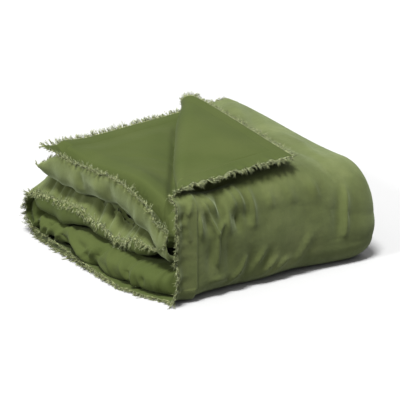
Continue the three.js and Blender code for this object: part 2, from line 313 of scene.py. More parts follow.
# Columns across the cloth: those of the border's plies, and those of the body
NEAR_COLUMNS = np.concatenate([BORDER_STEPS - BORDER_WIDTH, [1, 2.5, 4.5]])
NEAR_BODY = [0, 0.35, 0.7, 1, 1.5, 2, 2.5, 3.5, 4.5, 5.2, 6, 7.2, 8.4, 9.6, 10.8, 12, 14, 16, 18]
BODY_COLUMNS = np.concatenate([NEAR_BODY, np.arange(20.5, 137, 3.1), np.arange(140.5, 200, 4.6),
                               np.arange(204, 310, 7.4), np.arange(314, 340, 3.6), np.arange(346, 376, 7.4),
                               [382, 389, 395, 400, 403, 405, 406]])
# Stations along each leg, and how many times as many the border's plies have
STATION_STEPS = {TOP: 84, TOP_ARC: 22, FRONT: 36, BOTTOM_ARC: 14, BOTTOM: 116, BACK: 20, MIDDLE: 60,
                 INNER_FOLD: 20, INNER: 70}
PLY_FINENESS = 2.0


def stations(u, fineness=1.0):
    """For each leg the parameters t of its stations, one row per column u: the free legs have fixed steps
    over the border and even ones past it."""
    fixed = np.concatenate([BORDER_STEPS, SEAM_STEPS])
    blocks = []
    column = u[:, None]
    for leg in LEGS:
        steps = round(STATION_STEPS[leg] * fineness)
        if leg == TOP:
            length = end_depth(TOP_END, column) - top_leg_start(column)
            even = lerp(fixed[-1], length, np.linspace(0, 1, steps)[None, 1:])
            t = np.concatenate([fixed[None, :] + 0 * column, even], axis=1) / length
        elif leg == INNER:
            length = end_depth(INNER_END, column) - inner_leg_start(column)
            even = lerp(0 * length, length - fixed[-1], np.linspace(0, 1, steps)[None, 1:-1])
            t = np.concatenate([even, length - fixed[None, ::-1] + 0 * column], axis=1) / length
        else:
            t = np.linspace(0, 1, steps + 1)[None, 1:] + 0 * column
        blocks.append((leg, t))
    return blocks


def surface(u, blocks, side, half=None):
    column = u[:, None]
    return np.concatenate([cloth_point(column, leg, t, side, half) for leg, t in blocks], axis=1)


def closed_body(velvet, cotton):
    """Vertices, faces and material slots of the closed body. Both sides share their last column."""
    columns, count = velvet.shape[:2]
    face = np.arange(columns * count).reshape(columns, count)
    back = columns * count + face
    back[-1] = face[-1]
    places = np.concatenate([velvet.reshape(-1, 3), cotton[:-1].reshape(-1, 3)])
    quads = [
        np.stack([face[:-1, :-1], face[:-1, 1:], face[1:, 1:], face[1:, :-1]], -1).reshape(-1, 4),
        np.stack([back[:-1, :-1], back[1:, :-1], back[1:, 1:], back[:-1, 1:]], -1).reshape(-1, 4),
        np.stack([face[0, :-1], back[0, :-1], back[0, 1:], face[0, 1:]], -1),
        np.stack([face[:-1, 0], face[1:, 0], back[1:, 0], back[:-1, 0]], -1)[:-1],
        np.stack([face[:-1, -1], back[:-1, -1], back[1:, -1], face[1:, -1]], -1)[:-1],
    ]
    cotton_or_velvet = [0, 1, 0, 0, 0]  # the velvet's slot is 0, also for the narrow faces of the seams
    slots = np.concatenate([np.full(len(block), slot) for block, slot in zip(quads, cotton_or_velvet)])
    faces = [tuple(int(corner) for corner in quad) for quad in np.concatenate(quads)]
    faces.append((int(face[-2, 0]), int(face[-1, 0]), int(back[-2, 0])))
    faces.append((int(face[-2, -1]), int(back[-2, -1]), int(face[-1, -1])))
    return places, faces, np.concatenate([slots, [0, 0]])


def new_object(name, places, faces, materials, slots=None):
    mesh = bpy.data.meshes.new(name)
    mesh.from_pydata([tuple(place) for place in places.tolist()], [], faces)
    for material in materials:
        mesh.materials.append(material)
    if slots is not None:
        mesh.polygons.foreach_set("material_index", np.asarray(slots, dtype=np.int32))
    mesh.polygons.foreach_set("use_smooth", np.ones(len(mesh.polygons), dtype=bool))
    mesh.update()
    mesh.validate()
    piece = bpy.data.objects.new(name, mesh)
    bpy.context.scene.collection.objects.link(piece)
    return piece


def linear(red, green, blue):
    """A colour given as it shows on a screen, 0 to 255, as Blender's linear values."""
    return tuple(((c / 255 + 0.055) / 1.055) ** 2.4 for c in (red, green, blue))


class Look:
    """A material under construction."""

    def __init__(self, name, rough):
        self.material = bpy.data.materials.new(name)
        self.material.use_nodes = True
        self.nodes, self.links = self.material.node_tree.nodes, self.material.node_tree.links
        self.shader = self.nodes["Principled BSDF"]
        self.shader.inputs["Roughness"].default_value = rough
        self.shader.inputs["Specular IOR Level"].default_value = 0.2
        self.places = self.nodes.new("ShaderNodeTexCoord").outputs["Object"]

    def noise(self, scale, detail, rough, stretch=None):
        places = self.places
        if stretch:
            mapping = self.nodes.new("ShaderNodeMapping")
            mapping.inputs["Scale"].default_value = stretch
            self.links.new(places, mapping.inputs["Vector"])
            places = mapping.outputs["Vector"]
        node = self.nodes.new("ShaderNodeTexNoise")
        node.inputs["Scale"].default_value = scale
        node.inputs["Detail"].default_value = detail
        node.inputs["Roughness"].default_value = rough
        self.links.new(places, node.inputs["Vector"])
        return node.outputs["Fac"]

    def ramp(self, value, *stops):
        node = self.nodes.new("ShaderNodeValToRGB")
        ramp = node.color_ramp
        while len(ramp.elements) < len(stops):
            ramp.elements.new(0.5)
        for element, (at, color) in zip(ramp.elements, stops):
            element.position = at
            element.color = (*color, 1) if hasattr(color, "__len__") else (color, color, color, 1)
        self.links.new(value, node.inputs["Fac"])
        return node.outputs["Color"]

    def multiply(self, factor, a, b):
        """A Mix node takes its colours at the sockets 6 and 7, and gives the colour at 2."""
        node = self.nodes.new("ShaderNodeMix")
        node.data_type = "RGBA"
        node.blend_type = "MULTIPLY"
        node.inputs[0].default_value = factor
        self.links.new(a, node.inputs[6])
        self.links.new(b, node.inputs[7])
        return node.outputs[2]

    def bump(self, height, strength, distance, under=None):
        node = self.nodes.new("ShaderNodeBump")
        node.inputs["Strength"].default_value = strength
        node.inputs["Distance"].default_value = distance
        self.links.new(height, node.inputs["Height"])
        if under is not None:
            self.links.new(under, node.inputs["Normal"])
        return node.outputs["Normal"]

    def sheen(self, weight, tint):
        self.shader.inputs["Sheen Weight"].default_value = weight
        self.shader.inputs["Sheen Tint"].default_value = (*tint, 1)
        self.shader.inputs["Sheen Roughness"].default_value = 0.5

    def finish(self, color, normal):
        self.links.new(color, self.shader.inputs["Base Color"])
        self.links.new(normal, self.shader.inputs["Normal"])
        return self.material


def velvet_look():
    """Short pile: broad patches and streaks along the nap, partly the pile's own tone and partly painted
    sheen, then fine pile, and a soft sheen.
    """
    look = Look("velvet", 0.9)
    # Broad patches and streaks along the nap below: partly the pile's own tone, partly painted sheen.
    patches = look.noise(14, detail=3, rough=0.6)
    color = look.ramp(patches, (0.3, linear(53, 59, 25)), (0.5, linear(60, 67, 32)),
                      (0.7, linear(70, 76, 41)))
    streaks = look.noise(120, detail=3, rough=0.65, stretch=(1, 1, 0.25))
    color = look.multiply(0.35, color, look.ramp(streaks, (0.3, 0.72), (0.7, 1.0)))
    pile = look.noise(1500, detail=2, rough=0.7)
    color = look.multiply(0.25, color, look.ramp(pile, (0.35, 0.6), (0.65, 1.0)))
    look.sheen(0.15, (0.76, 0.9, 0.58))
    soft = look.bump(look.noise(60, detail=3, rough=0.6), strength=0.35, distance=0.003)
    return look.finish(color, look.bump(pile, strength=0.25, distance=0.0008, under=soft))


def cotton_look():
    """Smooth matt cotton: faint patches and a fine weave."""
    look = Look("cotton", 0.8)
    patches = look.noise(9, detail=2, rough=0.5)
    color = look.ramp(patches, (0.3, linear(45, 53, 23)), (0.7, linear(51, 58, 28)))
    weave = look.noise(1100, detail=1, rough=0.5)
    color = look.multiply(0.3, color, look.ramp(weave, (0.35, 0.7), (0.65, 1.0)))
    look.shader.inputs["Specular IOR Level"].default_value = 0.05
    look.sheen(0.03, (0.8, 0.9, 0.6))
    soft = look.bump(look.noise(45, detail=2, rough=0.5), strength=0.25, distance=0.003)
    return look.finish(color, look.bump(weave, strength=0.2, distance=0.0005, under=soft))


def fringe_look():
    """Frayed threads whose tone varies at random from dark to light; the light threads are painted
    highlights.
    """
    look = Look("fringe", 0.85)
    threads = look.noise(260, detail=2, rough=0.6)
    # The light end of this ramp paints highlights on the threads.
    color = look.ramp(threads, (0.3, linear(39, 43, 22)), (0.5, linear(72, 77, 44)),
                      (0.7, linear(125, 128, 90)))
    look.sheen(0.3, (0.8, 0.9, 0.6))
    fine = look.noise(900, detail=1, rough=0.5)
    return look.finish(color, look.bump(fine, strength=0.2, distance=0.0004))


velvet_material = velvet_look()
cotton_material = cotton_look()
fringe_material = fringe_look()

# Random seeds
SEEDS = {"pockets": 5, "ruffles": 11, "front seam": 21, "open velvet": 31, "hanging cotton": 33,
         "gathers": 41, "puffs": 43, "near threads": 100, "top end threads": 200, "inner end threads": 300}

# The border's two plies
PLY_HALF_GAP = 1.1
PLY_THICKNESS = 1.0
PLY_LOWEST = 0.6

# The lower ply of a border sags as a pocket, which has this outline across the border
POCKET_X = np.array([-32, -35, -36.5, -36.5, -34, -28, -18, -8, 0, 5.0])
POCKET_DEPTH = np.array([0, 0.2, 0.42, 0.68, 0.88, 1.0, 1.0, 0.92, 0.8, 0.7])
POCKET_AT = np.array([-32, -30.3, -28, -25, -21.5, -17, -11, -5, 0, 5.0])
POCKET_REACH = 12.0
FULL_POCKET = 38.0  # the depth that the outline is for
# Depth of the pockets along the strip
INNER_POCKET = ([7.15, 7.5, 8.0, 8.13, 8.26, 8.39, 8.51, 8.8, 9.0], [0, 30, 34, 38, 34, 33, 32, 40, 44])
MIDDLE_POCKET = ([5.6, 6.0, 6.22, 6.45, 6.68, 6.86, 7.0, 7.3], [0, 32, 46, 27, 15, 33, 26, 0])
POCKET_WAVES = [140, 83, 47]
POCKET_UNEVEN = 0.07
# The stitch line of the middle leg lies higher than its raw edge
MIDDLE_DROOP = ([5.5, 6.05, 6.9, 7.2], [0, 14, 14, 0])
VELVET_DROOP = ([5.5, 6.05, 6.9, 7.2], [0, 30, 30, 0])
MIDDLE_DROOP_POWER = 1.4
VELVET_DROOP_POWER = 0.8
# Gathers that run down to the middle leg's raw edge
GATHERS = ([5.9, 6.15, 6.4, 6.85, 7.1], [0, 11, 14, 11, 0])
GATHER_WAVES = [97, 67, 47]
GATHER_LEAN = 14.0
GATHER_SWAY = 6.0
GATHER_SWAY_RUN = 31.0
GATHER_SOFTNESS = 0.03
GATHER_DROP = 0.9
# Puffs of the pockets
PUFFS = 4.0
PUFF_WAVES = [97, 61]
# The plies part at the inner leg's near corner
BEAK_DROP = np.array([-9.0, 0.0, -32.0])
BEAK_LENGTH = 60.0
BEAK_POWER = 1.3
# Across the border of the front, how far it stands out: it dips behind its raw edge
FRONT_PROFILE = ([0, 0.3, 0.6, 0.8, 1.0], [2.0, -0.5, -3.5, -3.5, 3.0])
FRONT_EDGE_OUT = 9.0
FRONT_PLY_GAP = 6.0  # how far the cotton ply hangs behind the velvet one there
ON_FRONT = ([0.93, 1.3, 3.7, 4.05], [0, 1, 1, 0])
# Ruffles, highest at the raw edge
RUFFLED = ([0, 3.0, 3.5, 4.8, 5.2, 8.0, 8.2, 9.0], [1, 1, 0.3, 0.3, 1, 1, 0.7, 0.7])
RUFFLE_WAVES = [83, 61, 43, 29, 19]
RUFFLE_HEIGHT = 4.5
RUFFLE_POWER = 2.0
RUFFLE_POWER_AT_POCKET = 7.0
POCKET_FROM = 10.0  # depth from which the ply counts as a pocket
# The cotton ply of the lowest border curls up
CURL = ([3.4, 4.1, 4.3, 4.46, 4.6, 4.75, 5.0, 5.6], [0, 0, 1, 3, 5, 9, 10, 0])

# How the near edge wanders up and down: depth against lift, for the inner and for the middle leg
INNER_EDGE = ([28, 45, 67, 85, 102, 130, 170, 211, 260, 336, 429, 445],
              [-8, -20, -29, -13, -2, 10, 18, 20, 13, 4, 8, 8])
MIDDLE_EDGE = ([60, 114, 180, 236, 283, 308, 367, 420, 470], [8, 12, -8, -6, 3, 10, 6, 0, 0])
# Round the inner fold the near edge shifts by these
FOLD_EDGE_BACK = ([6.7, 6.88, 7.0, 7.2, 7.42, 7.7, 8.0], [0, 34, 56, 52, 20, 8, 0])
FOLD_EDGE_UP = ([7.0, 7.5, 8.0], [8, -10, -29])
# The lowest border lies splayed: depth against distance, and the share that the body next to it follows
SPREAD = ([20, 46, 81, 135, 208, 290, 356, 430, 485], [4, 16, 27, 37, 31, 23, 17, 8, 0])
SPREAD_SHARE = 0.8
EDGE_REACH = 80.0  # how far into the body the near edge's wandering is felt
# The inner leg's near border stands up from its seam, which lies lower by this, in a groove
STAND = ([7.3, 8.05, 8.9, 9.0], [0, 30, 26, 6])
STAND_REACH = 20.0
SEAM_GROOVE = 16.0
GROOVE_AT = 0.5
GROOVE_HALF = 2.8
GROOVE_FADE = (40.0, 90.0)  # distances from the inner end between which it starts


def soft_table(table, blur=10.0, step=2.0):
    """The table's curve with its corners rounded off, as a function."""
    low, high = table[0][0], table[0][-1]
    at = np.arange(low - 4 * blur, high + 4 * blur, step)
    kernel = np.exp(-0.5 * (np.arange(-3 * blur, 3 * blur + step, step) / blur) ** 2)
    values = np.interp(at, *table)
    wide = np.concatenate([np.full(len(kernel), values[0]), values, np.full(len(kernel), values[-1])])
    smooth = np.convolve(wide, kernel / kernel.sum(), mode="same")[len(kernel):-len(kernel)]
    return lambda place: np.interp(place, at, smooth)


def soft_strip_table(table):
    """The same for a table against shares of a leg or of the border."""
    return soft_table(table, blur=0.05, step=0.01)


class Grid:
    """Columns and stations of the cloth. Tables along the strip are against the phase, a leg's number plus
    the share of the leg."""

    def __init__(self, columns, fineness=1.0):
        self.u = columns[:, None]
        self.blocks = stations(columns, fineness)
        self.t = np.concatenate([t for leg, t in self.blocks], axis=1)
        self.leg = np.concatenate([np.full(t.shape[1], leg) for leg, t in self.blocks])[None, :]
        self.phase = self.leg + self.t
        top_length = end_depth(TOP_END, self.u) - top_leg_start(self.u)
        inner_length = end_depth(INNER_END, self.u) - inner_leg_start(self.u)
        far = np.full_like(self.t, 1e3)
        self.from_top_end = np.where(self.leg == TOP, self.t * top_length, far)
        self.from_inner_end = np.where(self.leg == INNER, (1 - self.t) * inner_length, far)
        self.border = np.clip(-self.u / BORDER_WIDTH, 0, 1)

    def keep(self, kept):
        """Cuts the fields down to some of the stations."""
        for field in ("t", "leg", "phase", "from_top_end", "from_inner_end"):
            setattr(self, field, getattr(self, field)[:, kept])

    def along(self, table):
        return np.interp(self.phase, table[0], table[1])

    def softly_along(self, table):
        return soft_strip_table(table)(self.phase)


def wander(grid, points):
    """Moves the near edge, and the body next to it, up and down and outwards."""
    near = 1 - smoothstep(grid.u, 0, EDGE_REACH)
    y = points[..., 1]
    inner = np.where(grid.leg == INNER, soft_table(INNER_EDGE)(y), 0)
    middle = np.where(grid.leg == MIDDLE, soft_table(MIDDLE_EDGE)(y), 0)
    fold = grid.leg == INNER_FOLD
    up = inner + middle + np.where(fold, np.interp(grid.phase, *FOLD_EDGE_UP), 0)
    lowest = (grid.leg == BOTTOM) | (grid.leg == BOTTOM_ARC)
    outwards = np.where(lowest, soft_table(SPREAD)(y), 0)
    points[..., 2] += near * up
    points[..., 2] -= grid.along(STAND) * (1 - grid.border) * (1 - smoothstep(grid.u, 0, STAND_REACH))
    groove = np.exp(-((grid.u - GROOVE_AT) / GROOVE_HALF) ** 2)
    groove = groove * smoothstep(grid.from_inner_end, *GROOVE_FADE)
    points[..., 2] -= SEAM_GROOVE * (grid.leg == INNER) * groove
    points[..., 1] += near * grid.along(FOLD_EDGE_BACK)
    over_border = SPREAD_SHARE + (1 - SPREAD_SHARE) * grid.border
    points[..., 0] -= outwards * np.where(grid.u < 0, over_border, SPREAD_SHARE * near)
    return points


def waves(place, seed, lengths):
    """Uneven waves between about -1 and 1."""
    rng = np.random.default_rng(seed)
    total = np.zeros_like(place, dtype=float)
    for length in lengths:
        total = total + np.sin(2 * math.pi * place / length + rng.uniform(0, 2 * math.pi))
    return total / len(lengths)


def soft_noise(points, seed, length):
    """Smooth uneven waves through space, about -1 to 1."""
    rng = np.random.default_rng(seed)
    total = 0
    for _ in range(7):
        way = rng.normal(0, 1, 3)
        way *= rng.uniform(0.6, 1.5) / np.linalg.norm(way)
        total = total + np.sin(2 * math.pi * (points @ way) / length + rng.uniform(0, 2 * math.pi))
    return total / 4


def unit(vectors):
    return vectors / np.maximum(np.linalg.norm(vectors, axis=-1, keepdims=True), 1e-9)


def normals_of(points):
    """Unit normals of a grid of points."""
    return unit(np.cross(np.gradient(points, axis=1), np.gradient(points, axis=0)))


# Creases of the front: height (minus for a trough), half width, then the places it runs through
VELVET_CREASES = [
    (7.1, 5.1, (5, 2, 155), (10, 0, 118)),
    (8.1, 6.8, (26, 17, 181), (42, 8, 157)),
    (9.0, 3.6, (19, 7, 173), (43, -4, 116), (43, -1, 63)),
    (7.1, 6.0, (65, 12, 155), (69, 0, 117)),
    (7.0, 3.8, (57, -1, 134), (43, -4, 116)),
    (8.6, 7.6, (75, 26, 182), (83, 4, 153)),
    (9.1, 7.6, (91, 20, 184), (105, 2, 149)),
    (8.1, 6.8, (119, 17, 178), (123, -1, 119)),
    (4.5, 6.0, (160, 12, 168), (162, 3, 144)),
    (4.1, 6.8, (203, 12, 169), (210, 3, 144)),
    (5.1, 6.0, (258, 17, 168), (263, 3, 139)),
    (7.5, 5.1, (332, 10, 143), (324, -2, 105), (321, -7, 63)),
    (6.0, 5.0, (105, 0, 60), (95, 0, 40), (73, 11, 19)),
    (5.5, 5.1, (145, -1, 67), (127, 4, 42)),
    (5.5, 5.1, (172, 4, 46), (141, 10, 18)),
    (5.5, 5.1, (200, -1, 42), (167, 10, 18)),
    (5.1, 6.8, (216, 6, 26), (233, 0, 52), (250, -3, 80)),
    (5.1, 5.1, (36, 4, 33), (62, 5, 31)),
    (-8.1, 7.6, (27, 17, 165), (28, 5, 125)),
    (-8.1, 6.8, (53, 19, 178), (55, 5, 146)),
    (-8.1, 6.8, (87, 9, 150), (90, 1, 116)),
    (-6.1, 7.6, (104, 18, 172), (112, 2, 128)),
    (-5.1, 8.5, (30, 2, 100), (28, 2, 55)),
    (-4.5, 8.5, (66, 2, 96), (70, 2, 50)),
    (-4.5, 10.2, (118, 2, 70), (118, 2, 45), (104, 8, 20)),
    (-4.5, 10.2, (160, 2, 65), (148, 4, 35)),
    (-5.5, 10.2, (312, 4, 140), (306, -2, 100), (304, -4, 60)),
]
# Dents of the top: under the turned-back corner, and folds across the open velvet
DENTS = [
    (-12.0, 12.0, (8, 40, 194), (36, 42, 193), (70, 42, 193), (110, 44, 195)),
    (-5.0, 10.0, (375, 349, 201), (343, 294, 200), (308, 229, 197)),
    (4.0, 14.0, (384, 425, 198), (349, 351, 205), (320, 300, 201)),
    (4.0, 9.0, (351, 206, 191), (353, 168, 186), (332, 82, 185)),
    (-4.0, 12.0, (310, 189, 194), (315, 130, 190), (311, 40, 176)),
]
# Creases of the cotton that overhangs along the lowest layer
COTTON_CREASES = [
    (9.5, 3.8, (-31, 485, 8), (-26, 466, 27), (-20, 443, 43)),
    (-10.8, 6.0, (-30, 478, 34), (-24, 458, 44), (-28, 452, 20)),
    (10.8, 3.4, (-31, 441, 40), (-34, 425, 16), (-37, 405, 26), (-36, 388, 42)),
    (-10.8, 5.2, (-33, 420, 36), (-36, 400, 42)),
    (12.2, 3.8, (-34, 352, 46), (-40, 320, 36), (-45, 285, 25), (-48, 250, 10), (-52, 225, 3)),
    (-10.8, 6.8, (-36, 376, 36), (-42, 342, 27), (-46, 306, 14)),
    (9.5, 3.4, (-50, 256, 24), (-42, 242, 38), (-34, 225, 48)),
    (-6.8, 6.0, (-50, 235, 28), (-42, 222, 42)),
    (9.5, 3.4, (-38, 204, 48), (-46, 186, 34), (-46, 178, 20)),
    (6.8, 3.8, (-49, 229, 19), (-56, 190, 12), (-60, 150, 8)),
    (10.8, 3.4, (-54, 108, 10), (-52, 112, 23), (-45, 112, 37), (-33, 113, 47)),
    (8.1, 3.4, (-40, 112, 33), (-33, 100, 40), (-22, 88, 47)),
    (-10.8, 6.8, (-56, 134, 16), (-48, 136, 32), (-36, 138, 46)),
    (8.1, 3.8, (-44, 158, 42), (-53, 134, 14)),
    (-8.1, 6.0, (-50, 92, 18), (-38, 88, 34)),
    (9.5, 3.4, (-40, 56, 20), (-36, 57, 32), (-24, 58, 46)),
    (6.8, 3.8, (-37, 380, 18), (-32, 355, 5)),
    (6.8, 4.5, (-28, 324, 46), (-35, 290, 42), (-35, 262, 42)),
    (-6.8, 6.8, (-30, 300, 36), (-35, 270, 34)),
    (6.0, 2.8, (-31, 485, 8), (-30, 470, 24), (-24, 452, 40)),
    (6.0, 2.8, (-36, 436, 12), (-37, 428, 28), (-33, 408, 42)),
    (6.0, 2.8, (-38, 392, 10), (-38, 380, 26), (-34, 356, 42)),
    (7.0, 2.8, (-34, 360, 44), (-40, 325, 34), (-45, 288, 22), (-50, 250, 9)),
    (6.0, 2.8, (-46, 300, 14), (-48, 270, 28), (-42, 250, 42)),
    (6.0, 2.8, (-42, 210, 46), (-50, 190, 30), (-54, 176, 14)),
    (6.5, 2.8, (-54, 112, 8), (-50, 116, 24), (-42, 118, 40)),
    (6.5, 2.8, (-50, 92, 12), (-42, 100, 30), (-32, 108, 44)),
    (5.0, 2.8, (-42, 60, 12), (-38, 66, 28), (-30, 74, 42)),
]
# Creases of the velvet ply in the front's border
FRONT_BORDER_CREASES = [
    (7.0, 3.4, (0, 40, 196), (-8, 14, 184), (-20, 1, 160), (-22, -1, 146), (-15, -1, 117)),
    (-4.0, 4.5, (-12, 14, 182), (-25, 1, 158), (-25, 0, 120)),
]
# Troughs and a ridge of the velvet ply that hangs along the inner layer's near edge
BORDER_CREASES = [
    (-8.0, 8.0, (-37, 316, 155), (-39, 304, 132)),
    (-7.0, 9.0, (-38, 217, 152), (-40, 230, 130)),
    (-6.0, 9.0, (-42, 141, 139), (-44, 155, 116)),
    (5.0, 8.0, (-38, 288, 152), (-39, 240, 150)),
]
# Marks on the cotton of the turned-back corner and of the layer below it
COTTON_MARKS = [
    (-3.0, 2.6, (120, 62, 220), (151, 60, 221), (178, 62, 221), (205, 63, 222)),
    (-2.2, 2.6, (151, 238, 237), (166, 230, 236), (177, 225, 236)),
    (-2.6, 4.0, (120, 330, 163), (148, 343, 161), (165, 350, 160)),
    (-2.2, 8.0, (60, 330, 168), (120, 290, 168), (150, 250, 165)),
    (2.0, 7.0, (70, 240, 168), (110, 215, 168)),
]
CREASE_REACH = 2.6  # in half widths
CREASE_ENDS = 0.1
CREASE_TAPER = 0.7
CREASE_FALL = 1.7
# How the parts of the distance to a crease count on the front and on the hanging cotton
FRONT_SCALE = (1, 0.25, 1)
HANGING_SCALE = (0.2, 1, 1)


def crease(points, normals, table, scale=(1, 1, 1)):
    """Raises ridges and sinks troughs that taper off towards both ends of a line through space. scale
    weighs the parts of the distance to the line."""
    for height, width, *line in table:
        line = np.array(line, dtype=float) * scale
        places = points * scale
        near = np.all((places > line.min(axis=0) - CREASE_REACH * width)
                      & (places < line.max(axis=0) + CREASE_REACH * width), axis=-1)
        where = places[near]
        closest, run, place = np.full(len(where), 1e9), 0.0, np.zeros(len(where))
        for start, end in zip(line[:-1], line[1:]):
            way = end - start
            t = np.clip((where - start) @ way / (way @ way), 0, 1)
            distance = np.linalg.norm(where - start - t[:, None] * way, axis=1)
            length = np.linalg.norm(way)
            place = np.where(distance < closest, run + t * length, place)
            closest = np.minimum(closest, distance)
            run += length
        rounded = np.clip(CREASE_ENDS + (1 - 2 * CREASE_ENDS) * place / run, 0, 1)
        taper = np.sin(math.pi * rounded) ** CREASE_TAPER
        rise = height * taper * np.exp(-(closest / width) ** CREASE_FALL)
        points[near] += normals[near] * rise[:, None]


def run_along(points):
    """Length along the stations, measured on one column of points."""
    steps = np.linalg.norm(np.diff(points, axis=0), axis=-1)
    return np.concatenate([[0], np.cumsum(steps)])


def gathers(grid, points):
    """Heights of the uneven folds that run down to the middle leg's raw edge."""
    sway = GATHER_SWAY * np.sin(points[..., 1] / GATHER_SWAY_RUN)
    height = waves(points[..., 1] + GATHER_LEAN * grid.border + sway, SEEDS["gathers"], GATHER_WAVES)
    return grid.along(GATHERS) * (2.0 * np.sqrt(height * height + GATHER_SOFTNESS) - GATHER_DROP)


def hang_pocket(grid, points, side, out, depth, hang):
    """Lets the lower ply sag, straight down on the inner leg's velvet and away from the cloth elsewhere."""
    shift = np.interp(grid.u, POCKET_AT, POCKET_X - POCKET_AT) * (grid.u < POCKET_AT[-1])
    down = 1.0 * (grid.phase > INNER_FOLD)[..., None] if side > 0 else 0.0
    way = lerp(side * out, np.array([0, 0, -1.0]), down)
    points = points + way * (depth * hang)[..., None]
    points[..., 0] += shift * depth / FULL_POCKET
    return points


def raise_stitch_line(grid, points, side):
    """Raises the stitch line of the middle leg, and curls the cotton ply up off the lowest border."""
    if side > 0:
        points[..., 2] += grid.along(VELVET_DROOP) * (1 - grid.border) ** VELVET_DROOP_POWER
    else:
        points[..., 2] += grid.along(MIDDLE_DROOP) * (1 - grid.border) ** MIDDLE_DROOP_POWER
        points[..., 2] += grid.along(CURL) * grid.border ** 2


def dip_front(grid, points, side, out, front):
    """Lets the border of the front dip behind its raw edge, the cotton ply further than the velvet."""
    profile = soft_strip_table(FRONT_PROFILE)(grid.border)
    if side < 0:
        arch = np.sqrt(np.sin(math.pi * grid.border) + 1e-9)
        profile = np.minimum(profile, 0) - FRONT_PLY_GAP * arch
    points = points + out * (front * profile)[..., None]
    points[..., 0] -= FRONT_EDGE_OUT * front * grid.border ** 2
    return points


def ruffle(grid, points, out, along, depth, hang):
    """Ruffles the border towards its raw edge, and puffs the pockets out unevenly."""
    at_pocket = (depth > POCKET_FROM) & (grid.leg > BACK)
    power = np.where(at_pocket, RUFFLE_POWER_AT_POCKET, RUFFLE_POWER)
    height = waves(along, SEEDS["ruffles"], RUFFLE_WAVES) * RUFFLE_HEIGHT * grid.border ** power
    points = points + out * (grid.along(RUFFLED) * height)[..., None]
    puffs = waves(points[..., 1], SEEDS["puffs"], PUFF_WAVES) * hang * PUFFS * (depth > 0)
    points[..., 0] -= np.where(grid.leg > BACK, puffs, 0)
    return points


def beak(grid, depth, hang):
    """How far the velvet ply drops away from the cotton at the inner leg's near corner."""
    corner = np.hypot(np.maximum(grid.u + BORDER_WIDTH, 0), grid.from_inner_end)
    part = np.clip(1 - corner / BEAK_LENGTH, 0, 1) ** BEAK_POWER
    left = 1 - np.clip(depth * hang / FULL_POCKET, 0, 1)
    return BEAK_DROP * (part * left)[..., None]


def border_ply(grid, side):
    """One ply of the border: side +1 is the velvet, -1 the cotton."""
    columns = grid.u[:, 0]
    middle = surface(columns, grid.blocks, 0, 0.0)
    out = surface(columns, grid.blocks, 1, 1.0) - middle
    along = run_along(middle[0])[None, :]
    depth = grid.softly_along(INNER_POCKET if side > 0 else MIDDLE_POCKET)
    depth = depth * (1 + POCKET_UNEVEN * waves(along, SEEDS["pockets"] + side, POCKET_WAVES))
    hang = np.interp(grid.u, POCKET_AT, POCKET_DEPTH) * (grid.u < POCKET_REACH)
    front = np.interp(grid.phase, *ON_FRONT)
    points = wander(grid, surface(columns, grid.blocks, side, PLY_HALF_GAP))
    points = hang_pocket(grid, points, side, out, depth, hang)
    raise_stitch_line(grid, points, side)
    points = dip_front(grid, points, side, out, front)
    points = ruffle(grid, points, out, along, depth, hang)
    if side < 0:
        return points
    points[..., 2] += gathers(grid, points) * np.clip(1.2 - 0.75 * grid.border, 0, 1)
    face = normals_of(points)
    crease(points, face, BORDER_CREASES)
    crease(points, face * front[..., None], FRONT_BORDER_CREASES, FRONT_SCALE)
    return points + beak(grid, depth, hang)


def masked_sheet(points, keep_column, keep_station):
    """Vertices and faces of the part of a grid where a column or a station is kept."""
    columns, count = points.shape[:2]
    index = np.arange(columns * count).reshape(columns, count)
    quads = np.stack([index[:-1, :-1], index[:-1, 1:], index[1:, 1:], index[1:, :-1]], -1)
    keep = keep_column[:-1, None] & keep_column[1:, None] | keep_station[None, :-1] & keep_station[None, 1:]
    quads = quads[keep]
    used = np.unique(quads)
    new = np.full(columns * count, -1)
    new[used] = np.arange(len(used))
    return points.reshape(-1, 3)[used], [tuple(int(corner) for corner in quad) for quad in new[quads]]


def thicken(piece, thickness):
    solid = piece.modifiers.new("cloth", "SOLIDIFY")
    solid.thickness = thickness
    solid.offset = 0


# Loose threads
THREAD_PITCH = 0.56
THREAD_RADIUS = (0.3, 0.52)
THREAD_TAPER = 0.55
THREAD_LOWEST = 0.8
THREAD_STEPS = np.array([-0.12, 0.2, 0.5, 0.78, 1.0])  # shares of the length
TUFT_PITCH = (1.8, 5.5)
TUFT_MARGIN = 8.0  # past the end of the edge
TUFT_LEAN = 3.0
TUFT_LIFT = 2.6
TUFT_LENGTHS = (0.55, 1.3)
LONG_TUFTS = 0.12  # share of the tufts that are half as long again
# Threads within a tuft
OWN_LENGTHS = (0.6, 1.1)
TUFT_PULL = 0.6
SCATTER = 1.2
BOW = 1.6
BOW_TURN = 4.6
# Length and rise at the tip, at the near edge, the top end and the inner end
NEAR_THREADS = (9.5, -1.8)
TOP_END_THREADS = (9.0, 1.5)
INNER_END_THREADS = (11.0, 4.0)
# The longest threads bend from here on rather than reach further out
THREADS_BEND_AT = -72.0
THREADS_YIELD = 8.0


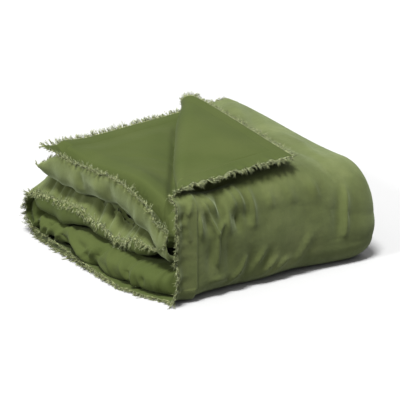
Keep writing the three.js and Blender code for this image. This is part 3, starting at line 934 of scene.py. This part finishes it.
def tubes(lines, radii):
    """Thin tapered tubes with three sides along lines, an array of threads with their points."""
    count, steps = lines.shape[:2]
    heading = unit(np.gradient(lines, axis=1))
    side = unit(np.cross(heading, (0.31, 0.17, 0.93)))
    other = np.cross(heading, side)
    taper = 1 - THREAD_TAPER * np.linspace(0, 1, steps)
    thin = (radii[:, None] * taper[None, :])[..., None]
    turns = (0.0, 2 * math.pi / 3, 4 * math.pi / 3)
    rings = [lines + thin * (math.cos(turn) * side + math.sin(turn) * other) for turn in turns]
    rings = np.stack(rings, axis=2)
    index = np.arange(count * steps * 3).reshape(count, steps, 3)
    after = np.roll(index, -1, axis=2)
    walls = np.stack([index[:, :-1], after[:, :-1], after[:, 1:], index[:, 1:]], -1).reshape(-1, 4)
    caps = np.concatenate([index[:, 0, ::-1], index[:, -1]])
    faces = [tuple(face) for face in walls.tolist()] + [tuple(face) for face in caps.tolist()]
    return rings.reshape(-1, 3), faces


def thread_lines(edge, inside, seed, length, rise):
    """Lines of the loose threads along a raw edge, and their radii. edge and inside are the points of the
    edge and of the next row inwards."""
    rng = np.random.default_rng(seed)
    out = unit(edge - inside)
    along = unit(np.gradient(edge, axis=0))
    run = run_along(edge)
    count = int(run[-1] / THREAD_PITCH)
    tuft_at = np.cumsum(rng.uniform(*TUFT_PITCH, int(run[-1] / TUFT_PITCH[0])))
    tuft_at = tuft_at[tuft_at < run[-1] + TUFT_MARGIN]
    tufts = len(tuft_at)
    tuft_lean = rng.normal(0, TUFT_LEAN, tufts)
    tuft_length = length * rng.uniform(*TUFT_LENGTHS, tufts)
    tuft_length *= np.where(rng.uniform(0, 1, tufts) < LONG_TUFTS, 1.5, 1.0)
    tuft_lift = rng.normal(0, TUFT_LIFT, tufts)
    at = np.sort(rng.uniform(0, run[-1], count))
    tuft = np.clip(np.searchsorted(tuft_at, at), 1, tufts - 1)
    tuft = np.where(at - tuft_at[tuft - 1] < tuft_at[tuft] - at, tuft - 1, tuft)

    def sampled(field):
        return np.stack([np.interp(at, run, field[:, part]) for part in range(3)], axis=-1)[:, None, :]

    def per_thread(values):
        return values[:, None, None]

    base, outwards, sideways = sampled(edge), sampled(out), sampled(along)
    upwards = np.cross(sideways, outwards)
    own = rng.normal(0, 1, (3, count))
    reach = per_thread(tuft_length[tuft] * rng.uniform(*OWN_LENGTHS, count))
    sway = per_thread(TUFT_PULL * (tuft_at[tuft] - at) + tuft_lean[tuft] + SCATTER * own[0])
    lift = per_thread(tuft_lift[tuft] + SCATTER * own[1])
    t = THREAD_STEPS[None, :, None]
    bow = np.sin(BOW_TURN * t + 3 * per_thread(own[0])) * per_thread(own[2]) * BOW * t
    lines = base + outwards * reach * t + sideways * (sway * t * np.abs(t) + bow)
    lines = lines + upwards * (lift * t * np.abs(t) + 0.6 * bow)
    lines[..., 2] += (rise * t * t)[..., 0]
    lines[..., 2] = np.maximum(lines[..., 2], THREAD_LOWEST)
    beyond = np.maximum(THREADS_BEND_AT - lines[..., 0], 0)
    lines[..., 0] += beyond - THREADS_YIELD * (1 - np.exp(-beyond / THREADS_YIELD))
    return lines, rng.uniform(*THREAD_RADIUS, count)


def add_fringes(ply, side, kind):
    """The frayed threads of one ply: one piece along the near edge and one along the two ends."""
    near = thread_lines(ply[0], ply[1], SEEDS["near threads"] + side, *NEAR_THREADS)
    top = thread_lines(ply[:, 0], ply[:, 1], SEEDS["top end threads"] + side, *TOP_END_THREADS)
    inner = thread_lines(ply[:, -1], ply[:, -2], SEEDS["inner end threads"] + side, *INNER_END_THREADS)
    ends = tuple(np.concatenate(pair) for pair in zip(top, inner))
    fringes = []
    for name, (lines, radii) in (("near_side", near), ("ends", ends)):
        places, faces = tubes(lines, radii)
        fringe = new_object(kind + "_fringe_" + name, to_frame(places), faces, [fringe_material])
        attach(fringe, "root")
        fringes.append(fringe)
    return fringes


def add_borders():
    """The two plies outside the stitch line, each with its frayed threads."""
    body_part = BODY_COLUMNS[BODY_COLUMNS > NEAR_COLUMNS[-1]]
    grid = Grid(np.concatenate([NEAR_COLUMNS, body_part]), PLY_FINENESS)
    columns, count = grid.t.shape
    keep_column = np.arange(columns) < len(NEAR_COLUMNS)
    keep_station = (np.arange(count) < END_STEPS) | (np.arange(count) >= count - END_STEPS)
    for side, kind, material, slot in ((1, "velvet", velvet_material, "velvet"),
                                       (-1, "cotton", cotton_material, "lining")):
        ply = border_ply(grid, side)
        ply[..., 2] = np.maximum(ply[..., 2], PLY_LOWEST)
        places, faces = masked_sheet(ply, keep_column, keep_station)
        border = new_object(kind + "_border", to_frame(places), faces, [material])
        thicken(border, PLY_THICKNESS * MM)
        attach(border, "root")
        fringes = add_fringes(ply, side, kind)


# Across the near edge, how much of a bulge the body has
BULGE_ACROSS = ([0, 2, 6, 14, 30, 70], [0.7, 0.92, 1.0, 0.95, 0.6, 0])
# Along the strip, how far the cotton at the back fold and the velvet of the middle leg bulge out
COTTON_BULGE = ([4.9, 5.0, 5.3, 5.7, 6.0], [0, 30, 34, 26, 12])
VELVET_BULGE = ([5.7, 6.1, 6.9, 7.3], [0, 9, 10, 0])
GATHERS_END = (5.0, 40.0)
# Outline of the lowest layer's overhanging cotton across the near edge, by the column
OVERHANG_U = np.array([0, 1, 2.5, 4.5, 6, 9, 12, 16, 20, 26, 33, 42, 60, 80])
OVERHANG_X = np.array([-3, -14, -23, -29, -32, -36, -37, -33, -26, -12, 5, 24, 55, 80])
OVERHANG_Z = np.array([5, 6, 8, 12, 17, 26, 34, 41, 45.5, 49, 49.5, 48, 45.5, 44])
SPLAY_SHARE = ([0, 6, 12, 20, 33, 60], [1, 0.95, 0.75, 0.45, 0.2, 0])
OVERHANG = ([3.3, 3.9, 4.1, 4.9, 5.0], [0, 0.6, 1, 1, 0.9])
CURL_SHARE = 0.9
CURL_END = (4.0, 14.0)
# The inner leg's dome, and the valley beside the roll
DOME = 11.0
DOME_BARE = (20.0, 90.0)
DOME_EASE = 50.0
DOME_FROM = (4.0, 45.0)
ROLL_VALLEY = 7.0
VALLEY_GAP = 3.0
VALLEY_HALF = 6.0
VALLEY_FADE = 30.0
# More filling in the far half, where the top layer rests on the inner leg
FAR_FROM = (130.0, 320.0)
FAR_END = 45.0
FILL_INNER_UP, FILL_INNER_DOWN, FILL_TOP_DOWN = 19.0, 8.0, 6.0
FILL_INNER_EASE, FILL_TOP_EASE, FILL_FOLD_EASE = 130.0, 110.0, 60.0
FILLED_ABOVE = 120.0  # of the top leg, only what lies higher
# And behind the front of the far half, up to the inner fold
FRONT_FILL = ([0.9, 1.4, 2.5, 3.0], [0, 23, 24, 0])
FRONT_FILL_FROM = (170.0, 280.0)
FRONT_FILL_TO = (350.0, 395.0)
# Small waves: beside the front's seam, over the open velvet and on the hanging cotton
SEAM_WAVES = [31, 19, 13, 9]
SEAM_WAVE_LEAN = 0.35
SEAM_WAVE_REACH = 15.0
FRONT_GATHERS = 0.5
UNDULATION, UNDULATION_LENGTH = 1.6, 120
CRUMPLE, CRUMPLE_LENGTH = 3.0, 95
OVERHANG_END = 36.0
LOWEST = 0.2


def overhang(grid, cotton):
    """Lets the lowest layer's cotton hang over its splayed border, and returns how much it does so."""
    lowest = (grid.leg == BOTTOM_ARC) | (grid.leg == BOTTOM)
    share = np.where(lowest, grid.along(OVERHANG), 0) * (grid.u < OVERHANG_U[-1])
    splay = SPREAD_SHARE * soft_table(SPREAD)(cotton[..., 1]) * np.interp(grid.u, *SPLAY_SHARE)
    cotton[..., 0] = lerp(cotton[..., 0], np.interp(grid.u, OVERHANG_U, OVERHANG_X) - splay, share)
    cotton[..., 2] = lerp(cotton[..., 2], np.interp(grid.u, OVERHANG_U, OVERHANG_Z), share)
    cotton[..., 2] += CURL_SHARE * grid.along(CURL) * share * (1 - smoothstep(grid.u, *CURL_END))
    return share


def bulge(grid, velvet, cotton):
    """Bulges the near side out between its seams, and raises the seam of the middle leg."""
    across = np.interp(grid.u, *BULGE_ACROSS)
    cotton[..., 0] -= np.where(grid.leg > BOTTOM, grid.along(COTTON_BULGE), 0) * across
    velvet[..., 0] -= grid.along(VELVET_BULGE) * across
    flat = 1 - near_swell(grid.u)
    cotton[..., 2] += grid.along(MIDDLE_DROOP) * flat
    velvet[..., 2] += grid.along(VELVET_DROOP) * flat
    velvet[..., 2] += gathers(grid, velvet) * (1 - smoothstep(grid.u, *GATHERS_END))


def dome(grid, cotton):
    """Domes the bare cotton of the inner leg, with a valley where the roll lies on it."""
    on_inner = grid.leg == INNER
    bare = smoothstep(past_fold(cotton[..., 0], cotton[..., 1]), *DOME_BARE) * on_inner
    inside = smoothstep(grid.from_inner_end, BORDER_WIDTH, BORDER_WIDTH + DOME_EASE)
    inside = smoothstep(grid.u, *DOME_FROM) * inside
    cotton[..., 2] += DOME * bare * inside
    beside_roll = past_fold(cotton[..., 0], cotton[..., 1]) - roll_radius(cotton[..., 0], cotton[..., 1])
    valley = np.exp(-((beside_roll - FLAP_HALF - VALLEY_GAP) / VALLEY_HALF) ** 2)
    valley = valley * smoothstep(grid.u, 0, VALLEY_FADE)
    cotton[..., 2] -= ROLL_VALLEY * valley * inside * on_inner


def fill_far_half(grid, velvet, cotton):
    """Puts more filling where the layers would leave room between them."""
    far = smoothstep(grid.u, *FAR_FROM) * smoothstep(FAR_SIDE - grid.u, 0, FAR_END)
    inside = smoothstep(grid.from_inner_end, BORDER_WIDTH, FILL_INNER_EASE) * (grid.leg == INNER)
    cotton[..., 2] += FILL_INNER_UP * far * inside
    velvet[..., 2] -= FILL_INNER_DOWN * far * inside
    kept = smoothstep(past_fold(velvet[..., 0], velvet[..., 1]), 0, -FILL_FOLD_EASE)
    below = smoothstep(grid.from_top_end, BORDER_WIDTH, FILL_TOP_EASE) * (grid.leg == TOP) * kept
    high = cotton[..., 2] > FILLED_ABOVE
    cotton[..., 2] -= FILL_TOP_DOWN * far * below * high
    between = smoothstep(grid.u, *FRONT_FILL_FROM) * (1 - smoothstep(grid.u, *FRONT_FILL_TO))
    cotton -= normals_of(velvet) * (between * grid.softly_along(FRONT_FILL))[..., None]


def crease_body(grid, velvet, cotton, share):
    """Adds the small waves, then the listed creases, dents and marks."""
    face, back = normals_of(velvet), -normals_of(cotton)
    drift = run_along(velvet[0])[None, :] + SEAM_WAVE_LEAN * grid.u
    seam = np.exp(-grid.u / SEAM_WAVE_REACH) * smoothstep(grid.u, 0, 3)
    seam = seam * ((grid.leg > TOP) & (grid.leg < BOTTOM))
    seam_waves = FRONT_GATHERS * seam * waves(drift, SEEDS["front seam"], SEAM_WAVES)
    open_face = smoothstep(grid.u, 3, 40) * (1 - smoothstep(grid.u, 330, 400)) * (grid.leg < BOTTOM)
    undulation = UNDULATION * open_face * soft_noise(velvet, SEEDS["open velvet"], UNDULATION_LENGTH)
    velvet += face * (seam_waves + undulation)[..., None]
    front = face * ((grid.leg < BOTTOM) & (velvet[..., 1] < 60))[..., None]
    crease(velvet, front, VELVET_CREASES, FRONT_SCALE)
    crease(velvet, face, DENTS)
    hanging = share * (1 - smoothstep(grid.u, 18, 60))
    crumples = CRUMPLE * hanging * soft_noise(cotton, SEEDS["hanging cotton"], CRUMPLE_LENGTH)
    cotton += back * crumples[..., None]
    crease(cotton, back * (grid.u < OVERHANG_END)[..., None], COTTON_CREASES, HANGING_SCALE)
    crease(cotton, back, COTTON_MARKS)


def add_body():
    """The filled body, from the folded strip moved into the shape of the soft pile."""
    grid = Grid(BODY_COLUMNS)
    velvet = surface(BODY_COLUMNS, grid.blocks, 1)[:, INSIDE]
    cotton = surface(BODY_COLUMNS, grid.blocks, -1)[:, INSIDE]
    grid.keep(INSIDE)
    velvet, cotton = wander(grid, velvet), wander(grid, cotton)
    share = overhang(grid, cotton)
    bulge(grid, velvet, cotton)
    dome(grid, cotton)
    fill_far_half(grid, velvet, cotton)
    crease_body(grid, velvet, cotton, share)
    velvet[..., 2] = np.maximum(velvet[..., 2], LOWEST)
    places, faces, slots = closed_body(velvet, cotton)
    body = new_object("duvet_body", to_frame(places), faces, [velvet_material, cotton_material], slots)
    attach(body, "root")
    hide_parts("duvet", "fringe_near_side", "fringe_top_end", "fringe_inner_end")


def add_floor():
    look = bpy.data.materials.new("floor")
    look.use_nodes = True
    shader = look.node_tree.nodes["Principled BSDF"]
    shader.inputs["Base Color"].default_value = (0.25, 0.25, 0.25, 1)
    shader.inputs["Roughness"].default_value = 0.9
    corners = np.array([(-6, -6, 0), (6, -6, 0), (6, 6, 0), (-6, 6, 0)])
    new_object("floor", corners, [(0, 1, 2, 3)], [look])


# The camera: where it looks, from which direction and how far, in metres
AZIMUTH, ELEVATION = math.radians(-35.96), math.radians(18.17)
DISTANCE = 4.65
TARGET = Vector((0.0001, -0.0148, 0.09))
VIEW_ANGLE = math.radians(9)


def add_camera():
    back = Vector((math.sin(AZIMUTH) * math.cos(ELEVATION), -math.cos(AZIMUTH) * math.cos(ELEVATION),
                   math.sin(ELEVATION)))
    camera = bpy.data.objects.new("camera", bpy.data.cameras.new("camera"))
    camera.data.sensor_fit = "HORIZONTAL"
    camera.data.angle = VIEW_ANGLE
    camera.data.clip_end = 50
    camera.location = TARGET + DISTANCE * back
    camera.rotation_euler = (-back).to_track_quat("-Z", "Y").to_euler()
    bpy.context.scene.collection.objects.link(camera)
    bpy.context.scene.camera = camera


def add_sky():
    """Soft light from all round, bright above and dark below, tilted to the left."""
    world = bpy.data.worlds.new("studio")
    bpy.context.scene.world = world
    world.use_nodes = True
    sky = world.node_tree
    direction = sky.nodes.new("ShaderNodeTexCoord")
    parts = sky.nodes.new("ShaderNodeSeparateXYZ")
    ramp = sky.nodes.new("ShaderNodeValToRGB")
    for element, at, grey in zip(ramp.color_ramp.elements, (0.0, 0.9), (0.05, 1)):
        element.position = at
        element.color = (grey, grey, grey, 1)
    tilt = sky.nodes.new("ShaderNodeVectorRotate")
    tilt.rotation_type = "Y_AXIS"
    tilt.inputs["Angle"].default_value = math.radians(22)
    sky.links.new(direction.outputs["Generated"], tilt.inputs["Vector"])
    sky.links.new(tilt.outputs["Vector"], parts.inputs["Vector"])
    sky.links.new(parts.outputs["Z"], ramp.inputs["Fac"])
    sky.links.new(ramp.outputs["Color"], sky.nodes["Background"].inputs["Color"])
    sky.nodes["Background"].inputs["Strength"].default_value = 1.5


def add_sun(name, towards, strength, softness):
    lamp = bpy.data.lights.new(name, "SUN")
    lamp.energy = strength
    lamp.angle = math.radians(softness)
    sun = bpy.data.objects.new(name, lamp)
    sun.rotation_euler = Vector(towards).to_track_quat("Z", "Y").to_euler()
    bpy.context.scene.collection.objects.link(sun)


add_borders()
add_body()
add_floor()
add_camera()
add_sky()
add_sun("top light", (-0.32, -0.22, 1.0), strength=9.1, softness=16)
add_sun("side light", (-0.88, -0.06, 0.5), strength=2.8, softness=8)
bpy.context.scene.view_settings.view_transform = "Standard"
